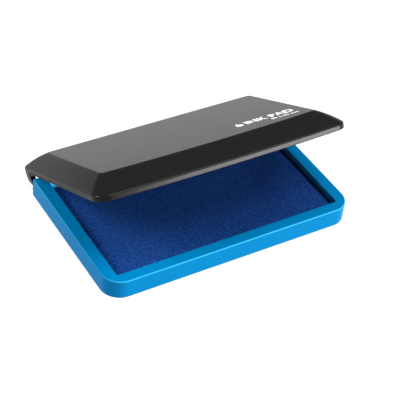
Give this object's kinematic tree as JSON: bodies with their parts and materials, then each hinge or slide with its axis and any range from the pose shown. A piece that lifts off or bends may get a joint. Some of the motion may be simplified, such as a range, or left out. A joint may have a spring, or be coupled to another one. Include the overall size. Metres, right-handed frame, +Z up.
{
  "type": "office ink pad",
  "caption": "Stamp pad: shallow tray with a cloth-covered inked pad sunk in its well, under a bevelled lid hinged along the long rear side.",
  "frame": {"origin": "middle of the tray's flat underside, on the surface it stands on", "axes": "+X along the tray's long side, +Y to the rear, where the lid is hinged, +Z up"},
  "size_m": [0.1002, 0.0692, 0.0385],
  "materials": {
    "tray_plastic": "satin moulded blue polystyrene",
    "lid_plastic": "satin moulded black polystyrene",
    "liner_plastic": "fine matt moulded black polypropylene",
    "inked_cloth": "fine woven cotton soaked with blue ink",
    "felt": "felt soaked with blue ink",
    "board": "plain fibre board",
    "pin_steel": "drawn steel wire",
    "print": "white pad-printed ink"
  },
  "bodies": {
    "base": {"base_tray": "tray_plastic", "backing_board": "board", "ink_felt": "felt", "pad_cloth": "inked_cloth", "hinge_pin_left": "pin_steel", "hinge_pin_right": "pin_steel"},
    "lid": {"lid_shell": "lid_plastic", "lid_liner": "liner_plastic"}
  },
  "joints": [
    {"name": "lid_hinge", "type": "hinge", "parent": "base", "child": "lid", "pos_m": [0, 0.03265, 0.00427], "axis": [-1, 0, 0], "range_deg": [-27.85, 62]}
  ]
}
